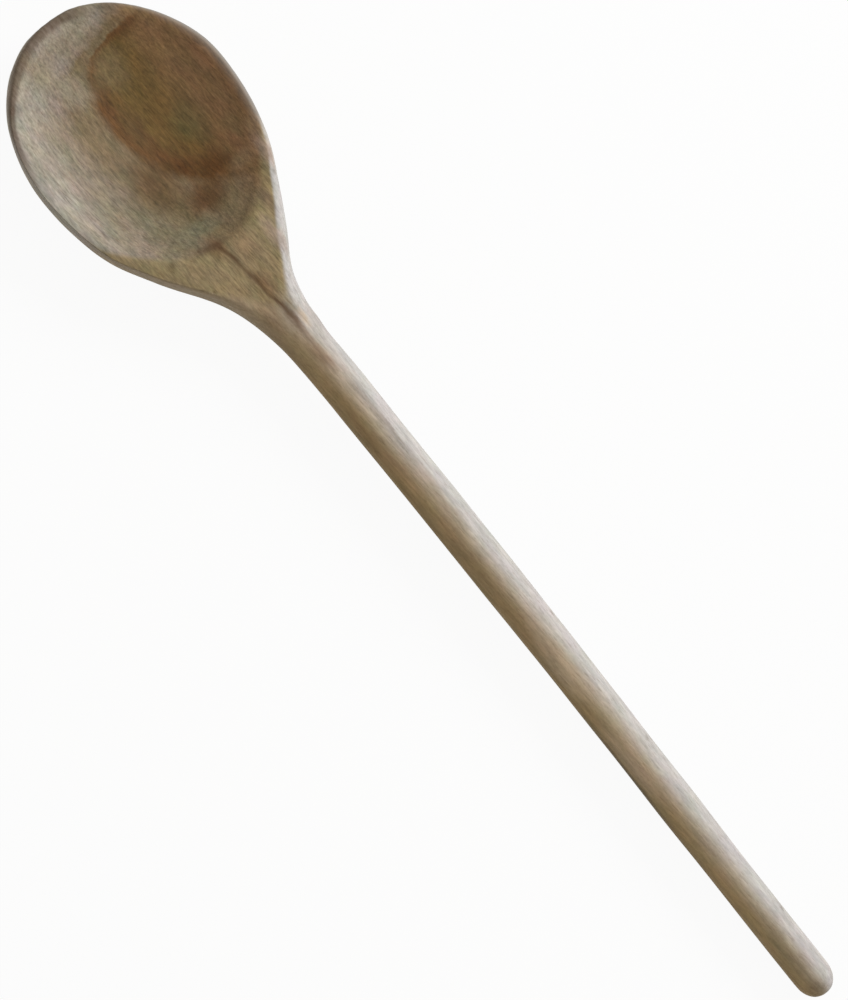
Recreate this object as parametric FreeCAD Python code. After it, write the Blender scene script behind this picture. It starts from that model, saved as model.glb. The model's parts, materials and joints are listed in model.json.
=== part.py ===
"""A wooden spoon in two pieces: a carved head and a turned handle, glued together at the throat of the neck.

Millimetres, +Z up, the bowl open upwards. +X runs from the head's tip to the handle's end. The spoon lies
as it does on a table: it touches z = 0 under the bowl and under the handle's end. The origin is under the
middle of its length.
"""

import math
import os

import FreeCAD
import Part
from FreeCAD import Vector

# Overall
spoon_length = 300.0

# Head, seen from above
head_width = 56.6
tip_to_widest = 33.7
tip_to_throat = 101.0
throat_diameter = 11.0
shoulder_reach = 35.0
neck_reach = 30.0

# Head, seen from the side
head_depth = 14.5
rim_above_waist = 4.5
rim_inset = 1.2
throat_below_rim = 0.6
neck_crown = 6.5

# Hollow of the bowl
hollow_depth = 8.5
rim_width = 1.2
hollow_behind_widest = 1.6
lip_radius = 1.0
rim_edge_radius = 0.7

# Handle
grip_diameter = 9.64
grip_length = 45.0
taper_start_reach = 95.0
taper_end_reach = 30.0

# Glued joint between head and handle
tenon_diameter = 6.4
tenon_length = 22.0
tenon_chamfer = 0.8
glue_gap = 0.05
glue_end_gap = 1.0
drill_point_angle = 118.0

# Where the pieces lie, worked out from the sizes above
tip_x = -spoon_length / 2
widest_x = tip_x + tip_to_widest
throat_x = tip_x + tip_to_throat
end_x = spoon_length / 2
rim_z = head_depth
waist_z = head_depth - rim_above_waist
throat_radius = throat_diameter / 2
grip_radius = grip_diameter / 2
throat_z = rim_z - throat_below_rim - throat_radius

# The handle drops from the throat until its domed end touches the table.
dome_x = end_x - grip_radius
dome_z = grip_radius
handle_run = math.hypot(dome_x - throat_x, throat_z - dome_z)
handle_droop = math.atan2(throat_z - dome_z, dome_x - throat_x)

# The flanks lean in from the waist by rim_inset, so each section's upper half is a taller ellipse.
half_width = head_width / 2
rim_half_width = half_width - rim_inset
upper_height = rim_above_waist / math.sqrt(1 - (rim_half_width / half_width) ** 2)
lower_height = waist_z
rim_tip_to_widest = tip_to_widest * rim_half_width / half_width

# The hollow keeps rim_width inside the planed top at the tip and at the sides.
hollow_x = widest_x + hollow_behind_widest
hollow_half_length = rim_tip_to_widest - rim_width + hollow_behind_widest
hollow_half_width = rim_half_width - rim_width


def along_handle(distance, across=0.0):
    """A point at a distance along the handle from the throat, and across it upwards."""
    x = throat_x + distance * math.cos(handle_droop) + across * math.sin(handle_droop)
    z = throat_z - distance * math.sin(handle_droop) + across * math.cos(handle_droop)
    return Vector(x, 0, z)


def section_poles(centre, lean, half, upper, lower):
    """The nine poles of a closed section: half ellipses above and below the waist, leaning about Y."""
    corners = (
        (1, 0), (1, upper), (0, upper), (-1, upper), (-1, 0),
        (-1, -lower), (0, -lower), (1, -lower), (1, 0),
    )
    poles = []
    for side, height in corners:
        poles.append(centre + Vector(height * math.sin(lean), side * half, height * math.cos(lean)))
    return poles


def skin(sections, along_weights):
    """One smooth surface through a row of sections: ellipses across, a single curve along."""
    corner = math.sqrt(0.5)
    across_weights = (1, corner, 1, corner, 1, corner, 1, corner, 1)
    degree = len(sections) - 1
    poles = []
    weights = []
    for column in range(9):
        poles.append([section[column] for section in sections])
        weights.append([across_weights[column] * weight for weight in along_weights])
    surface = Part.BSplineSurface()
    surface.buildFromPolesMultsKnots(
        poles, (3, 2, 2, 2, 3), (degree + 1, degree + 1), (0, 1, 2, 3, 4), (0, 1),
        False, False, 2, degree, weights,
    )
    return surface.toShape()


def head_blank():
    """The head before it is planed and hollowed: half an ellipsoid at the tip, then the neck."""
    level = (half_width, upper_height, lower_height)
    round_throat = (throat_radius, throat_radius, throat_radius)
    tip_point = section_poles(Vector(tip_x, 0, waist_z), 0, 0, 0, 0)
    tip_corner = section_poles(Vector(tip_x, 0, waist_z), 0, *level)
    widest = section_poles(Vector(widest_x, 0, waist_z), 0, *level)
    shoulder = section_poles(Vector(widest_x + shoulder_reach, 0, waist_z), 0, *level)
    neck = section_poles(along_handle(-neck_reach), handle_droop, throat_radius, neck_crown, throat_radius)
    throat = section_poles(along_handle(0), handle_droop, *round_throat)

    tip_face = skin((tip_point, tip_corner, widest), (1, math.sqrt(0.5), 1))
    neck_face = skin((widest, shoulder, neck, throat), (1, 1, 1, 1))
    throat_circle = Part.Circle(along_handle(0), along_handle(1) - along_handle(0), throat_radius)
    throat_face = Part.Face(Part.Wire(throat_circle.toShape()))
    shell = Part.makeShell([tip_face, neck_face, throat_face])
    shell.sewShape()
    blank = Part.makeSolid(shell)
    if blank.Volume < 0:
        blank.reverse()
    return blank


def hollow_cutter():
    """The bowl's hollow: an arc across the spoon, swung along it about a level axis above the bowl."""
    arc_radius = (hollow_half_width ** 2 + hollow_depth ** 2) / (2 * hollow_depth)
    swing_radius = (hollow_half_length ** 2 + hollow_depth ** 2) / (2 * hollow_depth)
    bottom_z = rim_z - hollow_depth
    over = 1.5 * hollow_depth
    reach = math.sqrt(arc_radius ** 2 - (arc_radius - over) ** 2)

    left = Vector(hollow_x, reach, bottom_z + over)
    right = Vector(hollow_x, -reach, bottom_z + over)
    arc = Part.Arc(left, Vector(hollow_x, 0, bottom_z), right).toShape()
    profile = Part.Face(Part.Wire([arc, Part.makeLine(right, left)]))
    pivot = Vector(hollow_x, 0, bottom_z + swing_radius)
    swing = math.degrees(math.acos(1 - over / swing_radius))
    profile.rotate(pivot, Vector(0, 1, 0), -swing)
    return profile.revolve(pivot, Vector(0, 1, 0), 2 * swing)


def socket_cutter():
    """The drilled socket in the neck, with the drill's cone at its end."""
    radius = tenon_diameter / 2 + glue_gap
    depth = tenon_length + glue_end_gap
    cone = radius / math.tan(math.radians(drill_point_angle / 2))
    into_neck = along_handle(0) - along_handle(1)
    bore = Part.makeCylinder(radius, depth, along_handle(0), into_neck)
    point = Part.makeCone(radius, 0, cone, along_handle(-depth), into_neck)
    return bore.fuse(point)


def rim_edges(shape, outer):
    """The edges of the planed top that meet the outside of the head, or those that meet the hollow."""
    found = []
    for edge in shape.Edges:
        box = edge.BoundBox
        if abs(box.ZMin - rim_z) > 0.01 or abs(box.ZMax - rim_z) > 0.01:
            continue
        surfaces = [face.Surface for face in shape.ancestorsOfType(edge, Part.Face)]
        meets_outside = any(isinstance(surface, Part.BSplineSurface) for surface in surfaces)
        if meets_outside == outer:
            found.append(edge)
    return found


def make_head():
    """The carved head: planed flat on top, hollowed, eased at the rim and drilled for the tenon."""
    over = Part.makeBox(spoon_length, 2 * head_width, 2 * upper_height, Vector(tip_x - 10, -head_width, rim_z))
    head = head_blank().cut(over).cut(hollow_cutter())
    head = head.makeFillet(rim_edge_radius, rim_edges(head, True))
    head = head.makeFillet(lip_radius, rim_edges(head, False))
    return head.cut(socket_cutter())


def make_handle():
    """The turned handle: tenon, shoulder, slow taper, straight grip and domed end."""
    tenon_radius = tenon_diameter / 2
    taper_run = handle_run - grip_length
    taper = Part.BezierCurve()
    taper.setPoles([
        Vector(0, 0, throat_radius),
        Vector(taper_start_reach, 0, throat_radius),
        Vector(taper_run - taper_end_reach, 0, grip_radius),
        Vector(taper_run, 0, grip_radius),
    ])
    tip = Vector(handle_run + grip_radius, 0, 0)
    dome_middle = Vector(
        handle_run + grip_radius * math.cos(math.pi / 4), 0, grip_radius * math.sin(math.pi / 4)
    )
    grip_end = Vector(handle_run, 0, grip_radius)
    corners = (
        Vector(-tenon_length, 0, 0),
        Vector(-tenon_length, 0, tenon_radius - tenon_chamfer),
        Vector(tenon_chamfer - tenon_length, 0, tenon_radius),
        Vector(0, 0, tenon_radius),
        Vector(0, 0, throat_radius),
    )
    edges = [Part.makeLine(corners[i], corners[i + 1]) for i in range(4)]
    edges.append(taper.toShape())
    edges.append(Part.makeLine(Vector(taper_run, 0, grip_radius), grip_end))
    edges.append(Part.Arc(grip_end, dome_middle, tip).toShape())
    edges.append(Part.makeLine(tip, corners[0]))
    profile = Part.Face(Part.Wire(edges))
    handle = profile.revolve(Vector(0, 0, 0), Vector(1, 0, 0), 360)
    handle.rotate(Vector(0, 0, 0), Vector(0, 1, 0), math.degrees(handle_droop))
    handle.translate(along_handle(0))
    return handle


def write_piece(name, shape):
    """Check that a piece is one closed solid, then write it."""
    if len(shape.Solids) != 1 or not shape.isValid():
        raise ValueError("the piece " + name + " is not one sound solid")
    shape.Solids[0].exportStep("parts/" + name + ".step")


os.makedirs("parts", exist_ok=True)
write_piece("head", make_head())
write_piece("handle", make_handle())
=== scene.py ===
"""A worn beech cooking spoon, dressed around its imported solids.

The head and the handle are built as meshes from the same sizes as the solids, then worn: eased edges, faint
cutter marks, raised grain, a hairline check in the neck and small dents. One beech material runs through
both pieces without a break, because its grain is laid out in the spoon's own frame.
"""

import json
import math

import bpy
import numpy as np
from mathutils import Matrix, Vector, noise


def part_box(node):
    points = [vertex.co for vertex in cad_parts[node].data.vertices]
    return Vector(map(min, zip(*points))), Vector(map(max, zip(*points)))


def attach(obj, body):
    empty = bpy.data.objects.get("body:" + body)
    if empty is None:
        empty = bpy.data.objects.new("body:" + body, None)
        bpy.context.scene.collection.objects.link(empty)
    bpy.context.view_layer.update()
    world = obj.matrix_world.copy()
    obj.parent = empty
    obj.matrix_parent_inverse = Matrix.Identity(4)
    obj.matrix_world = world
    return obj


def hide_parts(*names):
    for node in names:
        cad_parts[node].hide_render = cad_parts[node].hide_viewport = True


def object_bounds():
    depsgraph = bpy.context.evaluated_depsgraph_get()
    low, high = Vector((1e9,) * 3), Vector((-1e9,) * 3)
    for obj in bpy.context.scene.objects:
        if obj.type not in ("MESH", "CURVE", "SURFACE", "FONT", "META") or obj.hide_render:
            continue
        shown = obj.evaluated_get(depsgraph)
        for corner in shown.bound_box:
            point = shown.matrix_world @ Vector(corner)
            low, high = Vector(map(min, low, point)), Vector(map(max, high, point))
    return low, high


bl_info = {
    "name": "Wooden spoon",
    "version": (1, 0, 0),
    "blender": (4, 5, 0),
    "location": "View3D > Sidebar > Spoon",
    "description": "Builds a worn beech cooking spoon around its packed solids",
    "category": "Add Mesh",
}

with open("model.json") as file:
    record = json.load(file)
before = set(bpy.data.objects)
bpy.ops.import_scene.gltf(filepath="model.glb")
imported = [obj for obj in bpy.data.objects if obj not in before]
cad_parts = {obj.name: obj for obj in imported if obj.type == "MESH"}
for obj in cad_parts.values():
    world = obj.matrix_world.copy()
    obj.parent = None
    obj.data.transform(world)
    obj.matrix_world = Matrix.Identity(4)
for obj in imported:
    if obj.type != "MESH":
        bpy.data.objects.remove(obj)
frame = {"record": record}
CAD_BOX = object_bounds()

MM = 0.001
BODY = "root"
IMAGE_SIZE = (848, 1000)
PIXELS_PER_MM = 4.14

# Edges sharper than this angle show as edges, and a worn piece may lie this far off its solid's box.
SHARP_ANGLE = math.radians(40)
BOX_SLACK = 2 * MM

HEAD_LOW, HEAD_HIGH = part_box("head")
HANDLE_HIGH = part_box("handle")[1]
GRIP = next(mount for mount in frame["record"]["mounts"] if mount["name"] == "grip")
GRIP_POINT = Vector(GRIP["pos_m"])
HANDLE_AXIS = Vector(GRIP["axis"]).normalized()
HANDLE_UP = HANDLE_AXIS.cross(Vector((0, 1, 0)))


def linear(hex_colour):
    """An sRGB hex colour as linear red, green and blue."""
    parts = [int(hex_colour[i:i + 2], 16) / 255 for i in (1, 3, 5)]
    return tuple(p / 12.92 if p <= 0.04045 else ((p + 0.055) / 1.055) ** 2.4 for p in parts)


def length(name, description, default):
    """A length that a user may set, in metres."""
    return bpy.props.FloatProperty(
        name=name, description=description, default=default, unit="LENGTH", precision=5
    )


def colour(name, description, hex_colour):
    """A colour that a user may set."""
    return bpy.props.FloatVectorProperty(
        name=name, description=description, default=linear(hex_colour), size=3, subtype="COLOR", min=0, max=1
    )


class SpoonSizes(bpy.types.PropertyGroup):
    """Sizes of the two pieces. The overall length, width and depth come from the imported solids."""

    tip_to_widest: length("Tip to widest", "From the head's tip to its widest section", 33.7 * MM)
    tip_to_throat: length("Tip to throat", "From the head's tip to the glued joint", 101.0 * MM)
    throat_radius: length("Throat radius", "Radius of the neck where the handle joins", 5.5 * MM)
    shoulder_reach: length(
        "Shoulder reach", "How far the head stays full behind its widest section", 35.0 * MM
    )
    neck_reach: length("Neck reach", "How far the neck stays slim ahead of the throat", 30.0 * MM)
    rim_above_waist: length("Rim above waist", "Height of the rim above the widest level", 4.5 * MM)
    rim_inset: length("Rim inset", "How far the flanks lean in up to the rim", 1.2 * MM)
    neck_crown: length("Neck crown", "Height of the neck above its middle before it is planed", 6.5 * MM)
    hollow_depth: length("Hollow depth", "Depth of the bowl's hollow", 8.5 * MM)
    rim_width: length("Rim width", "Flat left between the hollow and the outer edge", 1.2 * MM)
    hollow_behind_widest: length(
        "Hollow set back", "How far the hollow's middle lies behind the widest section", 1.6 * MM
    )
    lip_ease: length("Lip easing", "Height over which the hollow's lip is worn round", 1.1 * MM)
    edge_ease: length("Edge easing", "Height over which the outer edge is worn round", 1.3 * MM)
    taper_start_reach: length("Taper start", "How far the handle keeps its throat thickness", 95.0 * MM)
    taper_end_reach: length("Taper end", "How early the handle reaches its grip thickness", 30.0 * MM)
    tenon_radius: length("Tenon radius", "Radius of the handle's tenon", 3.2 * MM)
    tenon_length: length("Tenon length", "Length of the handle's tenon", 22.0 * MM)
    tenon_chamfer: length("Tenon chamfer", "Chamfer on the tenon's end", 0.8 * MM)
    glue_gap: length("Glue gap", "Gap round the tenon", 0.05 * MM)
    glue_end_gap: length("Glue end gap", "Gap past the tenon's end", 1.0 * MM)


class SpoonWear(bpy.types.PropertyGroup):
    """What hand finishing and years of use have done to the surface."""

    waviness: length("Waviness", "Height of the hand-sanded waves", 0.14 * MM)
    raised_grain: length("Raised grain", "Height of the ridges along the fibres", 0.035 * MM)
    cutter_marks: length("Cutter marks", "Height of the marks left by the hollowing cutter", 0.012 * MM)
    check_width: length("Check width", "Half width of the dirty check in the neck", 0.55 * MM)
    check_depth: length("Check depth", "Depth of the check in the neck", 0.08 * MM)
    lip_wear: length("Lip wear", "How far scraping has worn the hollow out towards the rim", 0.8 * MM)
    hollow_shift: length("Hollow shift", "How far the hollow was cut to the left of the middle", 0.3 * MM)
    tip_wear: length("Tip wear", "Height rubbed off the left of the tip by stirring", 0.4 * MM)
    tip_flat: length("Tip flat", "How far the tip is blunted by stirring", 0.55 * MM)
    tip_skew: length("Tip skew", "How far stirring has worn the tip over to the left", 0.25 * MM)
    bow: length("Bow", "Sideways bow of the handle's middle as the wood has dried", 1.08 * MM)
    slim_spot: length("Slim spot", "Sanded dip in the handle's radius behind the throat", 0.12 * MM)
    thick_spot: length("Thick spot", "Rise in the handle's radius ahead of the grip", 0.18 * MM)
    end_wear: length("End wear", "Depth worn off the shoulder of the domed end", 0.2 * MM)
    square_flank: bpy.props.FloatProperty(
        name="Square flank",
        description="How much squarer than an ellipse the left flank was carved",
        default=1.0,
    )


class SpoonColours(bpy.types.PropertyGroup):
    """Colours of the beech, from clean wood to grime."""

    # Painted shade and painted light: the handle's left is yellower and the spoon's right paler and greyer,
    # as the key light falls from the right.
    shaded_side_yellow: colour("Yellow side", "Wood on the handle's left, yellowed by hands", "#b09870")
    lit_side_grey: colour("Bleached side", "Wood on the spoon's right, bleached by light", "#b8b3af")
    flank: colour("Neck's flank", "Browner wood on the left of the neck", "#a6957c")
    flat: colour("Planed flat", "Oiled, tanned wood on the planed top of the neck", "#8b7a5a")
    # Lighter than the neck's wood: partly clean wood, partly painted light that lifts the bowl's shaded left
    # flank.
    outside: colour("Bowl's outside", "Clean wood outside the bowl's left", "#b3aa9b")
    pale_wall: colour("Pale wall", "Wood washed pale, high on the bowl's left", "#a1998b")
    washed: colour("Washed wall", "Grey of the much washed bowl wall", "#8f8271")
    pink_wall: colour("Pink wall", "Pinkish patches of the bowl wall", "#968478")
    olive: colour("Olive layers", "Layers between the washed wall and the heart", "#7a6a50")
    shade_wall: colour("Right wall", "Redder wood on the right of the bowl", "#8a6b4c")
    rim_grey: colour("Grey rim", "Rubbed grey wood of the rim, most of all on its right", "#878480")
    heart: colour("Heart layers", "Brown inner layers shown by the hollow", "#6e5731")
    late: colour("Late wood", "Dense reddish wood that ends a growth layer", "#6a4b2b")
    fleck: colour("Flecks", "Short dark ray flecks of beech", "#6d5236")
    # Grime also paints shade here: a dark band round the tip's edge, save on its right.
    grime: colour("Grime", "Dark dirt in the check and the dents, and on the lip and the tip", "#4a2f16")


class SpoonStains(bpy.types.PropertyGroup):
    """Colours of the stains left by food, water and hands."""

    scorch: colour("Scorch", "Dark brown of hot pans, low in the bowl", "#543618")
    sauce: colour("Sauce", "Brown of sauces that soaked in", "#624a2f")
    dark_oil: colour("Dark oil", "Olive brown of oil in the heart's layers", "#6d6141")
    old_oil: colour("Old oil", "Olive grey of oil that was half washed out", "#807359")
    hand_brown: colour("Hand brown", "Dull brown where hands and pans rub", "#6a5946")
    tea: colour("Tea", "Tan of tea and spice", "#876a4e")
    weak_tea: colour("Weak tea", "Light tan of tea and spice", "#957c60")
    damp: colour("Damp", "Grey of wood that stayed wet", "#938877")
    moss: colour("Moss grey", "Greenish grey of wood that dries slowly", "#71705a")
    rubbed: colour("Rubbed wood", "Pale, pinkish wood that is rubbed bare", "#a28e80")
    clean: colour("Clean wood", "Cream wood that is hardly stained", "#c7b197")
    speck: colour("Specks", "Grey specks and streaks", "#7f756a")


class SpoonStage(bpy.types.PropertyGroup):
    """Camera, light and floor."""

    lens: bpy.props.FloatProperty(
        name="Lens", description="Focal length of the camera", default=100.0, unit="CAMERA"
    )
    roll: bpy.props.FloatProperty(
        name="Roll", description="Turn of the spoon in the picture", default=math.radians(51.0),
        subtype="ANGLE",
    )
    lean: bpy.props.FloatProperty(
        name="Lean", description="How far the camera leans to the spoon's left", default=math.radians(12.5),
        subtype="ANGLE",
    )
    picture_height: length(
        "Picture height", "Height of the picture at the spoon", IMAGE_SIZE[1] / PIXELS_PER_MM * MM
    )
    key_level: bpy.props.FloatProperty(
        name="Key level", description="Brightness of white paper that faces the key light", default=0.95
    )
    fill_level: bpy.props.FloatProperty(
        name="Fill level", description="Brightness of the light from all round", default=0.45
    )


def smooth_min(first, second, ease):
    """The lower of two heights, rounded over the given height where they cross."""
    overlap = np.clip(ease - np.abs(first - second), 0, None) / ease
    return np.minimum(first, second) - overlap ** 2 * ease / 4


def smooth_step(low, high, value):
    """0 below low, 1 above high, and a smooth rise between them."""
    share = np.clip((value - low) / (high - low), 0, 1)
    return share * share * (3 - 2 * share)


def beyond(start, end, value):
    """0 up to a start in millimetres, 1 past an end, and a smooth rise between them."""
    return smooth_step(start * MM, end * MM, value)


def close_to(middle, reach, value):
    """1 at a middle in millimetres, falling off like a bell over a reach to both sides."""
    return np.exp(-((value - middle * MM) / (reach * MM)) ** 2)


def curve_weights(step):
    """Weights of a cubic curve's four points, at steps from 0 to 1."""
    return (1 - step) ** 3, 3 * step * (1 - step) ** 2, 3 * step ** 2 * (1 - step), step ** 3


def sampled_noise(points, across, along):
    """Smooth noise from -1 to 1 at each point, in lumps of these sizes in mm across and along the spoon."""
    scaled = points / (np.array((along, across, across)) * MM)
    levels = [noise.noise(point) for point in scaled.reshape(-1, 3).tolist()]
    return np.array(levels).reshape(points.shape[:-1])


def grid_normals(points):
    """Outward directions of a grid of rings."""
    around = np.roll(points, -1, axis=1) - np.roll(points, 1, axis=1)
    along = np.gradient(points, axis=0)
    normals = np.cross(around, along)
    return normals / np.maximum(np.linalg.norm(normals, axis=2, keepdims=True), 1e-12)


# Hand carving of the head, in mm: place along the spoon, reach, wander to the right and widening of each
# flank.
CARVING = (
    (-123.0, 9.0, 0.25, 0.17),
    (-105.0, 6.0, 0.0, -0.12),
    (-95.0, 9.0, -0.30, 0.0),
    (-88.0, 5.0, 0.0, -0.28),
    (-75.0, 6.0, 0.40, 0.0),
    (-71.0, 3.5, 0.08, -0.08),
    (-67.0, 6.0, 0.0, -0.38),
    (-54.0, 3.0, 0.15, 0.15),
)


def warped(points, wear):
    """Points moved sideways, as the spoon has bowed and worn. Both pieces move alike, so they still meet."""
    x = points[..., 0]
    bow = wear.bow * beyond(-72, -34, x) * (1 - beyond(20, 150, x))
    skew = wear.tip_skew * (1 - beyond(-142, -122, x))
    moved = points.copy()
    moved[..., 1] += bow - skew
    for along, reach, wander, _ in CARVING:
        moved[..., 1] += wander * MM * close_to(along, reach, x)
    return moved


def on_handle_axis(x):
    """The point of the handle's axis at a place along the spoon."""
    return GRIP_POINT + HANDLE_AXIS * ((x - GRIP_POINT.x) / HANDLE_AXIS.x)


def ring_on_axis(distance, radius, turns, throat):
    """A ring round the handle's axis, at a distance from the throat."""
    centre = np.array(throat + HANDLE_AXIS * distance)
    return centre + radius * (np.outer(np.cos(turns), (0, 1, 0)) + np.outer(np.sin(turns), HANDLE_UP))


def mesh_from_rings(name, rings, first_point, last_point, marks):
    """A closed mesh from a stack of rings with a point at each end, and named marks at its vertices."""
    rows, columns = rings.shape[:2]
    corners = np.arange(rows * columns).reshape(rows, columns)
    beside = np.roll(corners, -1, axis=1)
    quads = np.stack((corners[:-1], corners[1:], beside[1:], beside[:-1]), axis=-1).reshape(-1, 4)
    first, last = rows * columns, rows * columns + 1
    start = [(first, a, b) for a, b in zip(corners[0].tolist(), beside[0].tolist())]
    end = [(last, b, a) for a, b in zip(corners[-1].tolist(), beside[-1].tolist())]
    points = np.vstack((rings.reshape(-1, 3), first_point, last_point))
    mesh = bpy.data.meshes.new(name)
    mesh.from_pydata(points.tolist(), [], quads.tolist() + start + end)
    for mark, values in marks.items():
        layer = mesh.attributes.new(mark, "FLOAT", "POINT")
        layer.data.foreach_set("value", np.append(values.reshape(-1), (0, 0)).astype(np.float32))
    mesh.shade_smooth()
    mesh.set_sharp_from_angle(angle=SHARP_ANGLE)
    mesh.update()
    if mesh.validate():
        raise RuntimeError(name + " has faulty faces")
    return mesh


def place(mesh, material, node):
    """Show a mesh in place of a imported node."""
    piece = bpy.data.objects.new(mesh.name, mesh)
    bpy.context.scene.collection.objects.link(piece)
    mesh.materials.append(material)
    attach(piece, BODY)
    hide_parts(node)
    low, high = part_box(node)
    points = np.array([vertex.co for vertex in mesh.vertices])
    off_low = np.abs(points.min(axis=0) - low).max()
    off_high = np.abs(points.max(axis=0) - high).max()
    if max(off_low, off_high) > BOX_SLACK:
        raise RuntimeError(mesh.name + " has left the space of its solid")


TIP_ROWS = 110
NECK_ROWS = 180
TOP_COLUMNS = 260
BOTTOM_COLUMNS = 80

# The angle of the tip's first ring, the gap that rings keep to the tip's point, and the rounding there.
FIRST_TIP_ANGLE = 0.03
TIP_GAP = 0.15 * MM
TIP_ROUNDING = 0.6 * MM

LEAST_EASE = 0.02 * MM
CUTTER_STEP = 2.7 * MM
DRILL_HALF_ANGLE = math.radians(59)

# The check's ends along and across the spoon, and the angles that its waves run through and start from.
CHECK_START = np.array((-81.5, -2.75)) * MM
CHECK_END = np.array((-54.0, 0.9)) * MM
CHECK_WAVE_RUN = 21.6
CHECK_WAVE_START = -2.7


def head_rings(sizes, wear, turns):
    """Rings of the head from tip to throat: half an ellipsoid, then a neck drawn in to a circle."""
    tip_x = HEAD_LOW.x
    waist_z = HEAD_HIGH.z - sizes.rim_above_waist
    half_width = HEAD_HIGH.y
    upper = sizes.rim_above_waist / math.sqrt(1 - (1 - sizes.rim_inset / half_width) ** 2)
    widest_x = tip_x + sizes.tip_to_widest
    throat = on_handle_axis(tip_x + sizes.tip_to_throat)
    neck = throat - HANDLE_AXIS * sizes.neck_reach

    quarter = np.linspace(FIRST_TIP_ANGLE, math.pi / 2, TIP_ROWS)
    start, shoulder, slim_start, slim_end = curve_weights(np.linspace(0, 1, NECK_ROWS + 1)[1:])
    full = start + shoulder
    slim = slim_start + slim_end
    radius = sizes.throat_radius

    tip_run = (sizes.tip_to_widest + wear.tip_flat) * np.cos(quarter)
    centre_x = np.concatenate((
        widest_x - smooth_min(tip_run, sizes.tip_to_widest - TIP_GAP, TIP_ROUNDING),
        full * widest_x + shoulder * sizes.shoulder_reach + slim_start * neck.x + slim_end * throat.x,
    ))
    centre_z = np.concatenate((
        np.full(TIP_ROWS, waist_z), full * waist_z + slim_start * neck.z + slim_end * throat.z,
    ))
    growth = np.concatenate((np.sin(quarter), full))
    slimness = np.concatenate((np.zeros(TIP_ROWS), slim))
    half = growth * half_width + slimness * radius
    for along, reach, _, widening in CARVING:
        half += widening * MM * close_to(along, reach, centre_x)
    crown = np.concatenate((np.zeros(TIP_ROWS), slim_start * sizes.neck_crown + slim_end * radius))
    rise_up = growth * upper + crown * HANDLE_UP.z
    rise_down = growth * waist_z + slimness * radius * HANDLE_UP.z
    lean = slimness * radius * HANDLE_UP.x

    # The left flank is squarer than the right one, most of all along the neck.
    squareness = 1.6 * beyond(-143, -126, centre_x) + 0.4 * beyond(-100, -84, centre_x)
    squareness = wear.square_flank * squareness * (1 - beyond(-76, -56, centre_x))
    power = 2 + squareness[:, None]
    squarer = (1 - np.abs(np.cos(turns)) ** power) ** (1 / power)
    rise = np.sin(turns)
    shape = np.where((rise > 0) & (np.cos(turns) < 0), squarer, rise)
    height = np.where(rise >= 0, rise_up[:, None], rise_down[:, None])
    x = centre_x[:, None] + lean[:, None] * rise
    y = half[:, None] * np.cos(turns)
    z = centre_z[:, None] + height * shape
    return np.stack((x, y, z), axis=-1)


def hollow_height(sizes, wear, x, y):
    """Height of the bowl's hollow over the spoon's plan: an arc across, swung about a level axis."""
    half_width = HEAD_HIGH.y
    rim_share = 1 - sizes.rim_inset / half_width
    depth = sizes.hollow_depth
    worn_rim = sizes.rim_width - wear.lip_wear
    half_across = half_width * rim_share - worn_rim
    half_along = sizes.tip_to_widest * rim_share - worn_rim + sizes.hollow_behind_widest
    arc = (half_across ** 2 + depth ** 2) / (2 * depth)
    swing = (half_along ** 2 + depth ** 2) / (2 * depth)
    middle_x = HEAD_LOW.x + sizes.tip_to_widest + sizes.hollow_behind_widest
    reach = swing - arc + np.sqrt(arc ** 2 - (y + wear.hollow_shift) ** 2)
    inside = reach ** 2 - (x - middle_x) ** 2
    low = HEAD_HIGH.z - depth + swing - np.sqrt(np.clip(inside, 0, None))
    return np.where(inside > 0, low, HEAD_HIGH.z + swing)


def check_closeness(points, width):
    """How near each point is to the hairline check: 1 on it, falling off over its width.

    The check waves about every 8 mm, from fibre to fibre, and is darkest where it wanders to the right.
    """
    run = CHECK_END - CHECK_START
    flat = points[..., :2] - CHECK_START
    share = np.clip((flat @ run) / (run @ run), 0, 1)
    wave = np.cos(share * CHECK_WAVE_RUN + CHECK_WAVE_START)
    wander = (0.04 + 0.17 * wave) * MM
    off = flat - share[..., None] * run
    gap = np.linalg.norm(off, axis=-1) * np.sign(off[..., 1]) - wander
    broken = 0.85 + 0.15 * wave
    return broken * (1 - smooth_step(0.8, 1.0, share)) * np.exp(-(gap / width) ** 2)


def painted_left_shade(side):
    """How much painted shade darkens the handle's left, by place across it."""
    return 0.65 * (1 - smooth_step(0, 0.2, side))


# Dents: place along and across the spoon, size and depth, in mm.
DENTS = (
    (-85.1, -15.1, 0.9, 0.12),
    (-75.6, -13.4, 0.5, 0.30),
    (-73.9, -11.2, 0.5, 0.30),
    (-72.0, 4.6, 0.6, 0.10),
    (-88.0, 19.6, 0.8, 0.20),
    (-137.0, -20.5, 1.0, 0.25),
)


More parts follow.
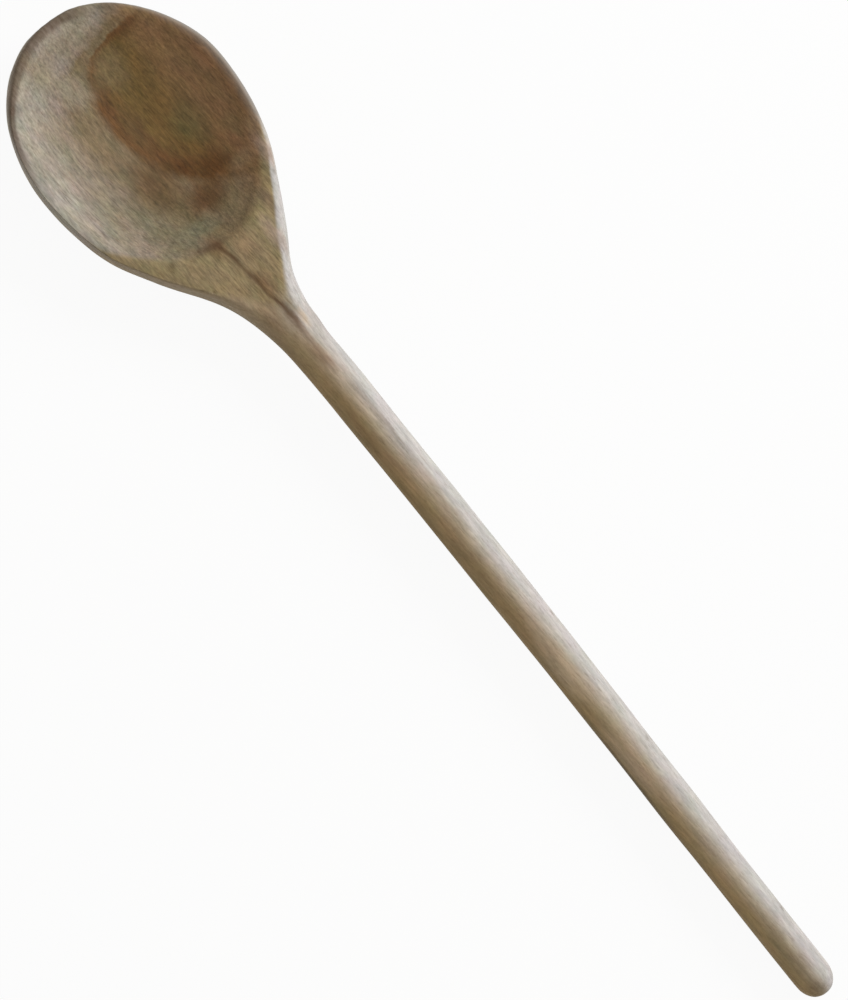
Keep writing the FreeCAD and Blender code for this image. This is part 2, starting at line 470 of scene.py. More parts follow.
class SPOON_OT_head(bpy.types.Operator):
    """Carve the head: bowl, rim, shoulders and flat-topped neck, with the socket for the handle"""

    bl_idname = "spoon.head"
    bl_label = "Carve the head"

    def execute(self, context):
        sizes = context.scene.spoon_sizes
        wear = context.scene.spoon_wear
        turns = np.concatenate((
            np.linspace(0, math.pi, TOP_COLUMNS, endpoint=False),
            np.linspace(math.pi, 2 * math.pi, BOTTOM_COLUMNS, endpoint=False),
        ))
        skin = head_rings(sizes, wear, turns)
        x, y, z = skin[..., 0], skin[..., 1], skin[..., 2].copy()
        top = np.sin(turns)[None, :] > 1e-6
        rim_z = HEAD_HIGH.z

        # Planing, hollowing and easing. The easing is widest on the left of the neck, and dies out where the
        # flat runs out into the throat.
        run_out = 1 - beyond(-60, -50, x)
        side = 0.5 + 0.5 * y / np.abs(y).max(axis=1, keepdims=True)
        left_neck = (1 - smooth_step(0.1, 0.5, side)) * beyond(-102, -90, x)
        edge_ease = LEAST_EASE + sizes.edge_ease * run_out * (1 + 0.4 * left_neck)
        rubbed = wear.tip_wear * close_to(-141, 9, x) * close_to(-15, 9, y)
        rim_top = np.full_like(x, rim_z) - rubbed
        hollow = hollow_height(sizes, wear, x, y)
        inner = smooth_min(rim_top, hollow, sizes.lip_ease)
        worked = smooth_min(z, inner, edge_ease)
        skin[..., 2] = np.where(top, worked, z)

        # Marks for the material: the hollow, whose colour runs over the rim, the flat of the neck, the grey
        # rim, and painted
        # shade down the left: the neck's left edge, the bowl's left lip by the neck, and the left of the
        # joint.
        rim_run = 1 - beyond(np.where(y > 0, -104, -102), np.where(y > 0, -93, -88), x)
        in_hollow = np.where(top, beyond(-0.2, 1.0, rim_top - hollow + 1.6 * MM * rim_run), 0)
        flat_end = 1 - beyond(-66, -54, x)
        right_neck = smooth_step(0.5, 0.9, side) * (0.9 * beyond(-96, -88, x) - 1.2 * beyond(-77, -69, x))
        on_flat = smooth_step(-0.5 * left_neck, 1 + 1.5 * left_neck, (z - rim_top) / MM - right_neck)
        on_flat = np.where(top, on_flat, 0) * flat_end
        upper_flank = np.where(top, beyond(1, 4, z - rim_z + sizes.rim_above_waist), 0)
        left_rim = (1 - smooth_step(0.012, 0.045, side)) * beyond(-138, -126, x)
        rim = smooth_step(0.93, 1, side) + 0.25 * left_rim
        rim = rim * upper_flank * (1 - beyond(-104, -95, x))
        left_edge = 0.1 * (1 - smooth_step(0, 0.1, side)) * beyond(-112, -92, x)
        left_lip = 0.5 * upper_flank * (1 - smooth_step(0.025, 0.06, side)) * close_to(-95.5, 6.5, x)
        near_joint = beyond(-68, -51, x)
        dark = (1 - near_joint) * (left_edge + left_lip) + near_joint * painted_left_shade(side)

        # Dirt in the check and the dents and on the lip, and painted shade in grime colour round the tip's
        # edge, save its right.
        near_check = np.where(top, check_closeness(skin, wear.check_width), 0) * (1 - in_hollow)
        near_lip = close_to(0.7, 0.6, rim_top - hollow) * beyond(-90, -86, x)
        smear = close_to(-4, 4.5, y) + 0.4 * close_to(6.5, 4, y)
        dirty_lip = np.where(top, near_lip * smear, 0)
        # Painted shade: a dark band round the tip's edge, save on its right, where the flank turns away from
        # the light.
        widest_x = HEAD_LOW.x + sizes.tip_to_widest
        from_edge = 1 - np.hypot((x - widest_x) / sizes.tip_to_widest, y / HEAD_HIGH.y)
        band = 1 - 0.5 * beyond(-144, -132, x)
        shaded_tip_edge = upper_flank * (1 - smooth_step(0.06, 0.11, from_edge / band))
        shaded_tip_edge = shaded_tip_edge * (1 - beyond(-130, -118, x)) * (1 - beyond(2, 12, y))
        below = 0.6 * (rim_z - skin[..., 2])
        dented = np.zeros_like(x)
        for dent_x, dent_y, size, dent_depth in DENTS:
            apart = np.sqrt((x - dent_x * MM) ** 2 + (y - dent_y * MM) ** 2 + below ** 2)
            dented += np.where(top, dent_depth * close_to(0, size, apart), 0)
        dirt_and_shade = near_check + 0.8 * dirty_lip + 0.8 * shaded_tip_edge + 1.5 * dented

        # Wear, pushed along the surface's own direction, and none at the glued joint.
        plain = skin.copy()
        fade = 1 - beyond(-56, -50, x)
        swell = wear.waviness * (sampled_noise(plain, 15, 24) + 0.45 * sampled_noise(plain, 5, 9))
        grain = wear.raised_grain * sampled_noise(plain, 1.5, 26)
        cuts = x / CUTTER_STEP + 6 * sampled_noise(plain, 30, 40)
        ripple = wear.cutter_marks * in_hollow * np.sin(2 * math.pi * cuts)
        push = (swell + grain + ripple) * fade - wear.check_depth * near_check - dented * MM
        skin += grid_normals(plain) * push[..., None]

        # The blind socket: annulus, drilled wall and the drill's cone.
        throat = on_handle_axis(HEAD_LOW.x + sizes.tip_to_throat)
        bore = sizes.tenon_radius + sizes.glue_gap
        cone = bore / math.tan(DRILL_HALF_ANGLE)
        depth = sizes.tenon_length + sizes.glue_end_gap
        socket = [ring_on_axis(-share * depth, bore, turns, throat) for share in (0, 0.5, 1)]
        socket_end = np.array(throat - HANDLE_AXIS * (depth + cone))
        rings = np.concatenate((skin, np.stack(socket)))
        tip = np.array((HEAD_LOW.x, 0, rim_z - sizes.rim_above_waist))
        skin_marks = {
            "hollow": in_hollow, "flat": on_flat, "side": side, "rim": rim, "dark": dark,
            "grime": np.clip(dirt_and_shade, 0, 1),
        }
        blank = np.zeros((len(socket), len(turns)))
        marks = {mark: np.vstack((values, blank)) for mark, values in skin_marks.items()}
        parts = [warped(part, wear) for part in (rings, tip, socket_end)]
        place(mesh_from_rings("spoon_head", *parts, marks), worn_beech(context), "head")
        return {"FINISHED"}


HANDLE_COLUMNS = 144
TAPER_ROWS = 300
GRIP_ROWS = 90
DOME_ROWS = 26


class SPOON_OT_handle(bpy.types.Operator):
    """Turn the handle: tenon, slow taper, straight grip and domed end"""

    bl_idname = "spoon.handle"
    bl_label = "Turn the handle"

    def execute(self, context):
        sizes = context.scene.spoon_sizes
        wear = context.scene.spoon_wear
        turns = np.linspace(0, 2 * math.pi, HANDLE_COLUMNS, endpoint=False)
        throat = on_handle_axis(HEAD_LOW.x + sizes.tip_to_throat)
        grip_radius = GRIP["dims"]["r_mm"] * MM
        run = (on_handle_axis(HANDLE_HIGH.x - grip_radius) - throat).length
        taper_run = run - GRIP["dims"]["length_mm"] * MM

        # The profile as distances from the throat and radii.
        first, second, third, last = curve_weights(np.linspace(0, 1, TAPER_ROWS))
        taper_end = taper_run - sizes.taper_end_reach
        distance = second * sizes.taper_start_reach + third * taper_end + last * taper_run
        thick = first + second
        radius = thick * sizes.throat_radius + (1 - thick) * grip_radius
        grip = np.linspace(taper_run, run, GRIP_ROWS + 1)[1:]
        bend = np.linspace(0, math.pi / 2, DOME_ROWS + 1)[1:-1]
        distance = np.concatenate((distance, grip, run + grip_radius * np.sin(bend)))
        radius = np.concatenate((radius, np.full(GRIP_ROWS, grip_radius), grip_radius * np.cos(bend)))
        radius -= wear.slim_spot * close_to(33, 14, distance)
        radius += wear.thick_spot * close_to(141, 11, distance)
        radius -= wear.end_wear * close_to(2, 2.2, distance - run)
        skin = np.stack([ring_on_axis(d, r, turns, throat) for d, r in zip(distance, radius)])

        # Wear: hand-sanded waves and flats, raised grain, and none at the glued joint.
        plain = skin.copy()
        fade = beyond(1, 8, distance)[:, None]
        swell = wear.waviness * (0.8 * sampled_noise(plain, 9, 30) + 0.35 * sampled_noise(plain, 3.5, 10))
        grain = wear.raised_grain * sampled_noise(plain, 1.3, 26)
        skin += grid_normals(plain) * ((swell + grain) * fade)[..., None]

        tenon_radius = sizes.tenon_radius
        tenon = [
            ring_on_axis(-sizes.tenon_length, tenon_radius - sizes.tenon_chamfer, turns, throat),
            ring_on_axis(sizes.tenon_chamfer - sizes.tenon_length, tenon_radius, turns, throat),
            ring_on_axis(0, tenon_radius, turns, throat),
        ]
        rings = np.concatenate((np.stack(tenon), skin))
        side = np.broadcast_to(0.5 + 0.5 * np.cos(turns), rings.shape[:2])
        # Painted shade: the handle's left darker, and a dark line down its left edge round its middle.
        handle_edge_shade = close_to(80, 18, rings[..., 0]) * (1 - smooth_step(0, 0.04, side))
        marks = {"side": side, "dark": painted_left_shade(side) + handle_edge_shade}
        start = np.array(throat - HANDLE_AXIS * sizes.tenon_length)
        end = np.array(throat + HANDLE_AXIS * (run + grip_radius))
        parts = [warped(part, wear) for part in (rings, start, end)]
        place(mesh_from_rings("spoon_handle", *parts, marks), worn_beech(context), "handle")
        return {"FINISHED"}


def add_node(tree, kind, feeds=None, **settings):
    """Add a node, set it up, and feed its inputs with values or with other nodes' outputs.

    Inputs go by name or number. In MapRange, 1 and 2 are the range read and 3 and 4 the range given. In Mix,
    0 is the share of the second colour, 6 and 7 are the colours, and output 2 is the mixed one.
    """
    made = tree.nodes.new(kind)
    for name, value in settings.items():
        setattr(made, name, value)
    for socket, feed in (feeds or {}).items():
        if isinstance(feed, bpy.types.NodeSocket):
            tree.links.new(feed, made.inputs[socket])
        else:
            made.inputs[socket].default_value = feed
    return made


def opaque(linear_colour):
    """A colour with full opacity, for a node's colour input."""
    return (*linear_colour, 1.0)


# Stains: place along and across the spoon, half length and half width in mm, strength and kind. The first
# ones stay inside the heart's oval, and the others lie anywhere on the upper side.
HEART_STAINS = (
    (-133.0, 5.0, 8.0, 7.0, 0.42, "old_oil"),
    (-138.5, 13.0, 3.5, 7.0, 0.5, "scorch"),
    (-117.5, 1.5, 11.0, 5.0, 0.6, "sauce"),
    (-112.0, 12.5, 8.0, 6.0, 0.5, "dark_oil"),
    (-104.0, 19.5, 5.0, 3.5, 0.45, "dark_oil"),
    (-102.0, 3.0, 5.5, 6.5, 0.9, "scorch"),
    (-98.8, 10.2, 4.6, 6.5, 0.75, "scorch"),
)
STAINS = (
    (-147.5, 8.0, 4.5, 9.0, 0.6, "old_oil"),
    (-145.0, 14.0, 4.5, 5.0, 0.7, "hand_brown"),
    (-143.0, 1.0, 4.5, 11.0, 0.5, "old_oil"),
    (-141.0, -9.5, 7.0, 7.0, 0.55, "old_oil"),
    (-133.0, -5.0, 7.0, 6.5, 0.65, "damp"),
    (-134.0, -16.0, 9.0, 6.0, 0.35, "damp"),
    (-123.0, -20.0, 10.0, 8.0, 0.5, "damp"),
    (-106.0, -18.0, 10.0, 9.0, 0.3, "moss"),
    (-94.0, -11.0, 13.0, 10.0, 0.45, "moss"),
    (-103.0, -4.0, 12.0, 7.5, 0.8, "sauce"),
    (-100.5, 23.0, 4.0, 3.0, 0.6, "weak_tea"),
    (-96.0, 16.5, 3.5, 5.0, 0.5, "weak_tea"),
    (-93.5, 3.5, 6.5, 8.5, 0.8, "scorch"),
    (-88.5, -3.5, 4.5, 8.5, 0.7, "moss"),
    (-92.5, 22.0, 8.5, 3.6, 0.8, "rubbed"),
    (-85.1, -14.9, 2.2, 1.8, 0.4, "sauce"),
    (-84.2, 14.0, 4.5, 2.2, 0.7, "hand_brown"),
    (-81.8, -3.2, 4.5, 2.8, 0.6, "sauce"),
    (-79.0, 2.2, 5.5, 3.4, 0.6, "weak_tea"),
    (-75.5, 10.2, 8.5, 3.0, 0.65, "rubbed"),
    (-68.5, 0.1, 7.5, 1.3, 0.65, "sauce"),
    (-67.3, 1.6, 6.0, 2.4, 0.45, "tea"),
    (-61.5, -3.0, 7.0, 3.2, 0.5, "tea"),
    (-60.5, 2.2, 4.5, 2.0, 0.7, "old_oil"),
    (-57.5, 0.4, 8.0, 1.8, 0.75, "sauce"),
    (-56.2, 2.8, 3.6, 1.5, 0.7, "clean"),
    (-54.0, 5.0, 8.0, 3.0, 0.33, "damp"),
    (-47.0, 0.4, 8.0, 2.4, 0.6, "tea"),
    (-24.0, -2.6, 18.0, 2.2, 0.4, "tea"),
    (-26.0, 2.0, 24.0, 1.1, 0.5, "speck"),
    (20.0, -2.5, 45.0, 3.5, 0.35, "weak_tea"),
    (0.0, 1.2, 16.0, 2.5, 0.35, "weak_tea"),
    (47.0, -1.4, 17.0, 3.6, 0.8, "clean"),
    (77.0, -2.6, 17.0, 2.6, 0.7, "clean"),
    (134.0, -1.9, 20.0, 2.6, 0.45, "old_oil"),
    (147.5, -1.9, 4.0, 3.6, 0.45, "hand_brown"),
    (36.6, 5.1, 1.4, 1.0, 0.5, "speck"),
    (74.3, 4.4, 1.3, 0.9, 0.4, "speck"),
    (126.6, 3.7, 1.3, 0.9, 0.5, "speck"),
)


def stained(tree, wood, stains, kinds, at, where):
    """A wood's colour with soft oval stains, at places in millimetres, only where the given share is 1."""
    dirty = wood
    for along, across, half_length, half_width, strength, kind in stains:
        shrink = (1 / half_length, 1 / half_width, 0)
        shift = (-along / half_length, -across / half_width, 0)
        spot = add_node(
            tree, "ShaderNodeVectorMath", {0: at, 1: shrink, 2: shift}, operation="MULTIPLY_ADD"
        ).outputs[0]
        apart = add_node(tree, "ShaderNodeVectorMath", {0: spot}, operation="LENGTH").outputs["Value"]
        share = add_node(
            tree, "ShaderNodeMapRange", {0: apart, 1: 0.15, 2: 1.0, 3: strength, 4: 0.0},
            interpolation_type="SMOOTHSTEP",
        ).outputs[0]
        dirty = add_node(
            tree, "ShaderNodeMix", {0: share, 6: dirty, 7: opaque(getattr(kinds, kind))}, data_type="RGBA"
        ).outputs[2]
    return add_node(tree, "ShaderNodeMix", {0: where, 6: wood, 7: dirty}, data_type="RGBA").outputs[2]


# The fibres run a little off the spoon's axis.
FIBRE_TURN = (0, math.radians(1.5), math.radians(-3.0))

# Patterns of the wood: length along the fibres and width across them in mm, detail and roughness. Pores and
# fibres are drawn coarser than real ones so that they show.
PATTERNS = {
    "drift": (55.56, 14.29, 3.0, 0.5),
    "blotch": (8.333, 4.167, 4.0, 0.68),
    "pore": (4.0, 0.8, 2.5, 0.9),
    "fibre": (12.5, 0.7692, 4.0, 0.6),
    "fleck": (2.5, 0.3846, 2.0, 0.6),
}

# Width of the pinkish patches and spacing of the growth lines in mm, and depth of the fibres' relief.
PATCH_SIZE = 8.333
LINE_SPACING = 1.4286
RELIEF = 0.08 * MM

# Growth layers: planes with this facing, which rise to the spoon's right. The heart's layers end at a level
# in mm, which dips at the tip.
LAYER_FACING = (0.066, -0.373, 1.0)
HEART_LEVEL = -0.3002
TIP_DIP = 5.0

# What changes along the spoon: from and to in mm, the values there, and the kind of step between them.
ALONG = {
    "head": (-72.0, -40.0, 1.0, 0.0, "SMOOTHSTEP"),
    "bowl": (-112.0, -92.0, 1.0, 0.0, "SMOOTHSTEP"),
    # How much of the right side's painted light shows: a quarter round the bowl, all of it from the neck on.
    "painted_light": (-112.0, -90.0, 0.25, 1.0, "LINEAR"),
    "tip_layers": (-142.0, -129.0, 2.2, 1.0, "LINEAR"),
    "neck_layers": (-114.0, -88.0, 1.0, 0.45, "LINEAR"),
    "heart_level": (-137.0, -145.0, HEART_LEVEL, HEART_LEVEL - TIP_DIP, "LINEAR"),
}


def worn_beech(context):
    """Beech, turned and carved, sanded, then greyed and stained by years of washing and stirring.

    The eye sees tilted growth layers cut open by the hollow as nested ovals, fine fibres along the spoon,
    short dark ray flecks, a matt grey bowl wall, painted shade on the left side and painted light on the
    right.
    """
    name = "worn_beech"
    if name in bpy.data.materials:
        return bpy.data.materials[name]
    colours = context.scene.spoon_colours
    kinds = context.scene.spoon_stains
    material = bpy.data.materials.new(name)
    material.use_nodes = True
    tree = material.node_tree
    tree.nodes.clear()
    marks = {}
    for mark in ("hollow", "flat", "side", "rim", "dark", "grime"):
        marks[mark] = add_node(tree, "ShaderNodeAttribute", attribute_name=mark).outputs["Fac"]

    # The spoon's own frame in millimetres, and the patterns along its fibres.
    frames = add_node(tree, "ShaderNodeTexCoord").outputs
    place_mm = add_node(
        tree, "ShaderNodeVectorMath", {0: frames["Object"], "Scale": 1 / MM}, operation="SCALE"
    ).outputs[0]
    turned = add_node(tree, "ShaderNodeMapping", {"Vector": place_mm, "Rotation": FIBRE_TURN}).outputs[0]
    patterns = {}
    for pattern, (long, wide, detail, roughness) in PATTERNS.items():
        stretched = add_node(
            tree, "ShaderNodeMapping", {"Vector": turned, "Scale": (1 / long, 1 / wide, 1 / wide)}
        ).outputs[0]
        patterns[pattern] = add_node(
            tree, "ShaderNodeTexNoise",
            {"Vector": stretched, "Scale": 1.0, "Detail": detail, "Roughness": roughness},
        ).outputs

    # The drift waves the layers and the stains, and the blotches roughen their edges, by lengths in mm.
    drifted = place_mm
    for pattern, reach in (("drift", (2.5, 2.5, 2.5)), ("blotch", (4.0, 4.0, 1.5))):
        shift = add_node(
            tree, "ShaderNodeVectorMath", {0: patterns[pattern]["Color"], 1: (0.5, 0.5, 0.5)},
            operation="SUBTRACT",
        ).outputs[0]
        drifted = add_node(
            tree, "ShaderNodeVectorMath", {0: shift, 1: reach, 2: drifted}, operation="MULTIPLY_ADD"
        ).outputs[0]
    split = add_node(tree, "ShaderNodeSeparateXYZ", {0: drifted}).outputs
    along = {}
    for share, (start, end, first, last, step) in ALONG.items():
        along[share] = add_node(
            tree, "ShaderNodeMapRange", {0: split["X"], 1: start, 2: end, 3: first, 4: last},
            interpolation_type=step,
        ).outputs[0]

    # Growth layers, counted in mm from the heart's end. The hollow cuts the heart open as an oval that runs
    # out over the right wall.
    level = add_node(
        tree, "ShaderNodeVectorMath", {0: drifted, 1: LAYER_FACING}, operation="DOT_PRODUCT"
    ).outputs["Value"]
    layer = add_node(
        tree, "ShaderNodeMath", {0: level, 1: along["heart_level"]}, operation="SUBTRACT"
    ).outputs[0]

    # Outside: the handle's left yellower and the spoon's right paler and greyer, painted shade and painted
    # light as the key light falls from the right; darker on the neck's left, paler round the bowl, partly as
    # painted light on its shaded left flank, and tanned on the planed flat of the neck.
    side_drift = add_node(
        tree, "ShaderNodeMath", {0: patterns["drift"]["Fac"], 1: 0.5, 2: marks["side"]},
        operation="MULTIPLY_ADD",
    ).outputs[0]
    lit_side_share = add_node(
        tree, "ShaderNodeMapRange", {0: side_drift, 1: 0.35, 2: 1.05, 3: 0.0, 4: 1.0},
        interpolation_type="SMOOTHSTEP",
    ).outputs[0]
    lit_side_share = add_node(
        tree, "ShaderNodeMath", {0: lit_side_share, 1: along["painted_light"]}, operation="MULTIPLY"
    ).outputs[0]
    wood = opaque(colours.shaded_side_yellow)
    coats = (
        (along["head"], colours.flank), (along["bowl"], colours.outside),
        (lit_side_share, colours.lit_side_grey), (marks["flat"], colours.flat),
    )
    for share, coat in coats:
        wood = add_node(
            tree, "ShaderNodeMix", {0: share, 6: wood, 7: opaque(coat)}, data_type="RGBA"
        ).outputs[2]

    # The hollow, by layer: heart, reddish wood at its boundary, olive layers, then the wall, paler and
    # paler. The layers are thinner towards the tip, so the wall is paler there than near the neck.
    thinning = add_node(
        tree, "ShaderNodeMath", {0: along["tip_layers"], 1: along["neck_layers"]}, operation="MULTIPLY"
    ).outputs[0]
    tint_layer = add_node(tree, "ShaderNodeMath", {0: layer, 1: thinning}, operation="MULTIPLY").outputs[0]
    stops = (
        (-6.0, colours.heart), (-2.5, colours.heart), (-1.0, colours.late), (-0.2, colours.late),
        (0.8, colours.olive), (3.6, colours.olive), (8.2, colours.washed), (12.5, colours.pale_wall),
        (18.0, colours.pale_wall),
    )
    lowest, highest = stops[0][0], stops[-1][0]
    tint_place = add_node(
        tree, "ShaderNodeMapRange", {0: tint_layer, 1: lowest, 2: highest, 3: 0.0, 4: 1.0}
    ).outputs[0]
    tint = add_node(tree, "ShaderNodeValToRGB", {0: tint_place})
    ramp = tint.color_ramp.elements
    for position, stop_colour in stops[1:-1]:
        ramp.new((position - lowest) / (highest - lowest)).color = opaque(stop_colour)
    ramp[0].color = opaque(stops[0][1])
    ramp[-1].color = opaque(stops[-1][1])

    # Pinkish patches on the wall, redder wood up the right wall, and the heart's own stains.
    patch = add_node(
        tree, "ShaderNodeTexNoise",
        {"Vector": place_mm, "Scale": 1 / PATCH_SIZE, "Detail": 2.0, "Roughness": 0.5},
    ).outputs["Fac"]
    patch_share = add_node(
        tree, "ShaderNodeMapRange", {0: patch, 1: 0.45, 2: 0.65, 3: 0.0, 4: 0.4}
    ).outputs[0]
    wall_share = add_node(
        tree, "ShaderNodeMapRange", {0: tint_layer, 1: 3.5, 2: 7.0, 3: 0.0, 4: 1.0}
    ).outputs[0]
    pink_share = add_node(
        tree, "ShaderNodeMath", {0: patch_share, 1: wall_share}, operation="MULTIPLY"
    ).outputs[0]
    right_share = add_node(
        tree, "ShaderNodeMapRange", {0: split["Y"], 1: 9.0, 2: 20.0, 3: 0.0, 4: 0.9},
        interpolation_type="SMOOTHSTEP",
    ).outputs[0]
    bowl = tint.outputs[0]
    for share, coat in ((pink_share, colours.pink_wall), (right_share, colours.shade_wall)):
        bowl = add_node(
            tree, "ShaderNodeMix", {0: share, 6: bowl, 7: opaque(coat)}, data_type="RGBA"
        ).outputs[2]
    in_heart = add_node(
        tree, "ShaderNodeMapRange", {0: layer, 1: -0.6, 2: 0.6, 3: 1.0, 4: 0.0},
        interpolation_type="SMOOTHSTEP",
    ).outputs[0]
    bowl = stained(tree, bowl, HEART_STAINS, kinds, drifted, in_heart)
    wood = add_node(
        tree, "ShaderNodeMix", {0: marks["hollow"], 6: wood, 7: bowl}, data_type="RGBA"
    ).outputs[2]

    # Stains on the upper side.
    facing = add_node(tree, "ShaderNodeSeparateXYZ", {0: frames["Normal"]}).outputs["Z"]
    upper_side = add_node(
        tree, "ShaderNodeMapRange", {0: facing, 1: 0.15, 2: 0.5, 3: 0.0, 4: 1.0}
    ).outputs[0]
    wood = stained(tree, wood, STAINS, kinds, drifted, upper_side)

    # Blotches again, as colour: some a little reddish and some a little olive.
    blotch_tint = add_node(
        tree, "ShaderNodeMix", {0: 0.3, 6: patterns["blotch"]["Fac"], 7: patterns["blotch"]["Color"]},
        data_type="RGBA",
    ).outputs[2]
    blotch_level = add_node(
        tree, "ShaderNodeVectorMath", {0: blotch_tint, 1: (0.9, 0.9, 0.9), 2: (0.55, 0.55, 0.55)},
        operation="MULTIPLY_ADD",
    ).outputs[0]

    # Uneven growth lines.
    line = add_node(
        tree, "ShaderNodeTexNoise",
        {"W": layer, "Scale": 1 / LINE_SPACING, "Detail": 2.0, "Roughness": 0.6}, noise_dimensions="1D",
    ).outputs["Fac"]

    # Levels and shares of grain, wear and painted shade: what is read, the range read and the range given.
    # Blotches and pores are clearest where the wood was carved across its fibres, and fibres are fainter in
    # the hollow.
    carved = add_node(
        tree, "ShaderNodeMath", {0: marks["flat"], 1: marks["hollow"]}, operation="MAXIMUM"
    ).outputs[0]
    fibre = patterns["fibre"]["Fac"]
    fleck = patterns["fleck"]["Fac"]
    ranges = {
        "blotch_share": (carved, 0.0, 1.0, 0.6, 1.0),
        "pore_share": (carved, 0.0, 1.0, 0.36, 1.0),
        "pore_level": (patterns["pore"]["Fac"], 0.25, 0.75, 0.55, 1.45),
        "line_share": (line, 0.48, 0.72, 0.0, 0.1),
        "fibre_share": (marks["hollow"], 0.0, 1.0, 1.0, 0.3),
        "fibre_level": (fibre, 0.25, 0.75, 0.85, 1.15),
        "fleck_share": (fleck, 0.56, 0.75, 0.0, 0.35),
        "dirt_and_shade_share": (marks["grime"], 0.0, 1.0, 0.0, 0.8),
        "rim_share": (marks["rim"], 0.0, 1.0, 0.0, 0.95),
        "edge_level": (marks["dark"], 0.0, 1.7, 1.0, 0.354),
        "rough": (fibre, 0.25, 0.75, 0.7, 0.55),
    }
    grain = {}
    for part, values in ranges.items():
        grain[part] = add_node(tree, "ShaderNodeMapRange", dict(enumerate(values))).outputs[0]

    # From the grain up to the grime with the tip's painted shade, the rim, rubbed grey, and painted shade on
    # the left edges.
    coats = (
        ("MULTIPLY", grain["blotch_share"], blotch_level),
        ("MULTIPLY", grain["pore_share"], grain["pore_level"]),
        ("MIX", grain["line_share"], opaque(colours.late)),
        ("MULTIPLY", grain["fibre_share"], grain["fibre_level"]),
        ("MIX", grain["fleck_share"], opaque(colours.fleck)),
        ("MIX", grain["dirt_and_shade_share"], opaque(colours.grime)),
        ("MIX", grain["rim_share"], opaque(colours.rim_grey)),
        ("MULTIPLY", 1.0, grain["edge_level"]),
    )
    for blend, share, coat in coats:
        wood = add_node(
            tree, "ShaderNodeMix", {0: share, 6: wood, 7: coat}, data_type="RGBA", blend_type=blend
        ).outputs[2]

    # Dry, open-pored wood: matt, and hardly a gloss.
    bumps = add_node(tree, "ShaderNodeMath", {0: fibre, 1: fleck}, operation="SUBTRACT").outputs[0]
    relief = add_node(
        tree, "ShaderNodeBump", {"Height": bumps, "Strength": 0.6, "Distance": RELIEF}
    ).outputs[0]
    surface = add_node(
        tree, "ShaderNodeBsdfPrincipled",
        {
            "Base Color": wood, "Roughness": grain["rough"], "Normal": relief,
            "IOR": 1.5, "Specular IOR Level": 0.2,
        },
    ).outputs[0]
    add_node(tree, "ShaderNodeOutputMaterial", {"Surface": surface})
    return material


FLOOR_HALF = 3.0
FLOOR_DROP = 0.25 * MM
FLOOR_COLOUR = "#dcdcda"
FLOOR_WHITE_SHARE = 0.94
KEY_DISTANCE = 0.9
KEY_SIZE = 0.42
KEY_ELEVATION = math.radians(33)
KEY_COLOUR = (0.95, 0.98, 1.0)
FILL_COLOUR = (1.0, 0.95, 0.87)
WHITE = (1.0, 1.0, 1.0)
SPOON_IN_PICTURE = (438.3, 510.2)
CLIP_END = 20.0


def seen_share(tree, share):
    """A share for rays that the camera sees, straight, mirrored or through clear things, and else 0."""
    path = add_node(tree, "ShaderNodeLightPath").outputs
    seen = path["Is Camera Ray"]
    for other in ("Is Glossy Ray", "Is Transmission Ray"):
        seen = add_node(tree, "ShaderNodeMath", {0: seen, 1: path[other]}, operation="MAXIMUM").outputs[0]
    return add_node(tree, "ShaderNodeMath", {0: seen, 1: share}, operation="MULTIPLY").outputs[0]


def pale_floor():
    """Pale painted board: matt white, shown nearly white to the camera and keeping a soft shadow."""
    material = bpy.data.materials.new("pale_painted_board")
    material.use_nodes = True
    tree = material.node_tree
    tree.nodes.clear()
    matt = add_node(tree, "ShaderNodeBsdfDiffuse", {"Color": opaque(linear(FLOOR_COLOUR))}).outputs[0]
    white = add_node(tree, "ShaderNodeEmission", {"Color": opaque(WHITE), "Strength": 1.0}).outputs[0]
    mixed = add_node(
        tree, "ShaderNodeMixShader", {0: seen_share(tree, FLOOR_WHITE_SHARE), 1: matt, 2: white}
    ).outputs[0]
    add_node(tree, "ShaderNodeOutputMaterial", {"Surface": mixed})
    return material


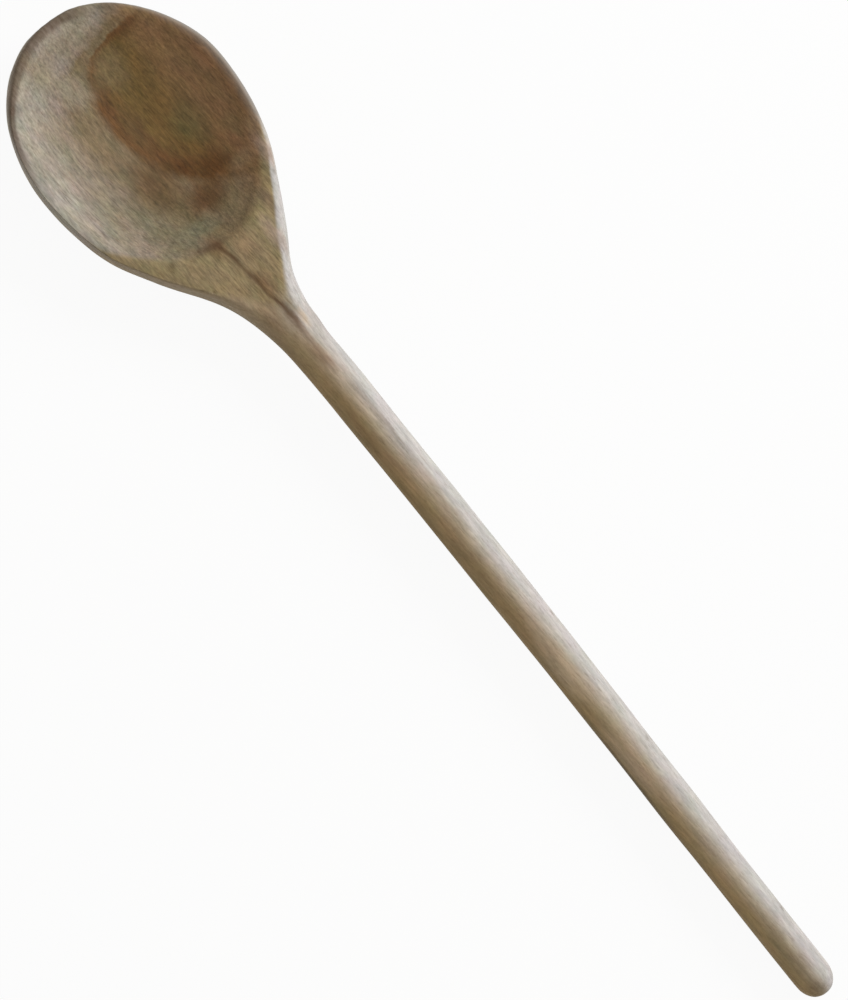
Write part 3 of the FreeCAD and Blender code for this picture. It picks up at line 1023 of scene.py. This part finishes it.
class SPOON_OT_stage(bpy.types.Operator):
    """Set up the pale floor, the soft light from the spoon's right and the camera from above"""

    bl_idname = "spoon.stage"
    bl_label = "Set the stage"

    def execute(self, context):
        scene = context.scene
        stage = scene.spoon_stage

        floor_mesh = bpy.data.meshes.new("floor")
        corners = ((-1, -1), (1, -1), (1, 1), (-1, 1))
        floor_mesh.from_pydata(
            [(x * FLOOR_HALF, y * FLOOR_HALF, -FLOOR_DROP) for x, y in corners], [], [(0, 1, 2, 3)]
        )
        floor_mesh.materials.append(pale_floor())
        floor = bpy.data.objects.new("floor", floor_mesh)
        scene.collection.objects.link(floor)

        # The key light stands on the spoon's right and lights across it.
        lamp = bpy.data.lights.new("key_light", "AREA")
        lamp.shape = "SQUARE"
        lamp.size = KEY_SIZE
        lamp.energy = stage.key_level * (math.pi * KEY_DISTANCE) ** 2
        lamp.color = KEY_COLOUR
        key = bpy.data.objects.new("key_light", lamp)
        scene.collection.objects.link(key)
        toward = Vector((0, math.cos(KEY_ELEVATION), math.sin(KEY_ELEVATION)))
        key.location = toward * KEY_DISTANCE
        key.rotation_euler = toward.to_track_quat("Z", "Y").to_euler()

        world = bpy.data.worlds.new("white_room")
        world.use_nodes = True
        tree = world.node_tree
        tree.nodes.clear()
        fill = add_node(
            tree, "ShaderNodeBackground", {"Color": opaque(FILL_COLOUR), "Strength": stage.fill_level}
        ).outputs[0]
        white = add_node(tree, "ShaderNodeBackground", {"Color": opaque(WHITE), "Strength": 1.0}).outputs[0]
        sky = add_node(tree, "ShaderNodeMixShader", {0: seen_share(tree, 1.0), 1: fill, 2: white}).outputs[0]
        add_node(tree, "ShaderNodeOutputWorld", {"Surface": sky})
        scene.world = world

        # The camera looks down on the spoon, turned as in the picture and leaning to the spoon's left.
        right = Vector((math.cos(stage.roll), math.sin(stage.roll), 0))
        up = Vector((-math.sin(stage.roll), math.cos(stage.roll), 0))
        axes = Matrix((right, up, Vector((0, 0, 1)))).transposed()
        axes = Matrix.Rotation(stage.lean, 3, "X") @ axes
        pixel = stage.picture_height / IMAGE_SIZE[1]
        middle = CAD_BOX[0].lerp(CAD_BOX[1], 0.5)
        off_x = (IMAGE_SIZE[0] / 2 - SPOON_IN_PICTURE[0]) * pixel
        off_y = (SPOON_IN_PICTURE[1] - IMAGE_SIZE[1] / 2) * pixel
        aim = middle + axes.col[0] * off_x + axes.col[1] * off_y
        camera_data = bpy.data.cameras.new("camera")
        camera_data.lens = stage.lens
        camera_data.dof.use_dof = False
        distance = stage.picture_height * stage.lens / camera_data.sensor_width
        camera_data.clip_end = CLIP_END
        camera = bpy.data.objects.new("camera", camera_data)
        scene.collection.objects.link(camera)
        pose = axes.to_4x4()
        pose.translation = aim + axes.col[2] * distance
        camera.matrix_world = pose
        scene.camera = camera
        scene.view_settings.view_transform = "Standard"
        return {"FINISHED"}


class VIEW3D_PT_spoon(bpy.types.Panel):
    """Sizes, wear, colours, stains and stage of the spoon, with the steps that build it"""

    bl_label = "Wooden spoon"
    bl_idname = "VIEW3D_PT_spoon"
    bl_space_type = "VIEW_3D"
    bl_region_type = "UI"
    bl_category = "Spoon"

    def draw(self, context):
        for name, group in GROUPS.items():
            box = self.layout.box()
            for setting in group.__annotations__:
                box.prop(getattr(context.scene, name), setting)
        for operator in (SPOON_OT_head, SPOON_OT_handle, SPOON_OT_stage):
            self.layout.operator(operator.bl_idname)


GROUPS = {
    "spoon_sizes": SpoonSizes,
    "spoon_wear": SpoonWear,
    "spoon_colours": SpoonColours,
    "spoon_stains": SpoonStains,
    "spoon_stage": SpoonStage,
}
CLASSES = (*GROUPS.values(), SPOON_OT_head, SPOON_OT_handle, SPOON_OT_stage, VIEW3D_PT_spoon)


def register():
    for item in CLASSES:
        bpy.utils.register_class(item)
    for name, group in GROUPS.items():
        setattr(bpy.types.Scene, name, bpy.props.PointerProperty(type=group))


def unregister():
    for name in GROUPS:
        delattr(bpy.types.Scene, name)
    for item in reversed(CLASSES):
        bpy.utils.unregister_class(item)


def main():
    register()
    bpy.ops.spoon.head()
    bpy.ops.spoon.handle()
    bpy.ops.spoon.stage()


if __name__ == "__main__":
    main()
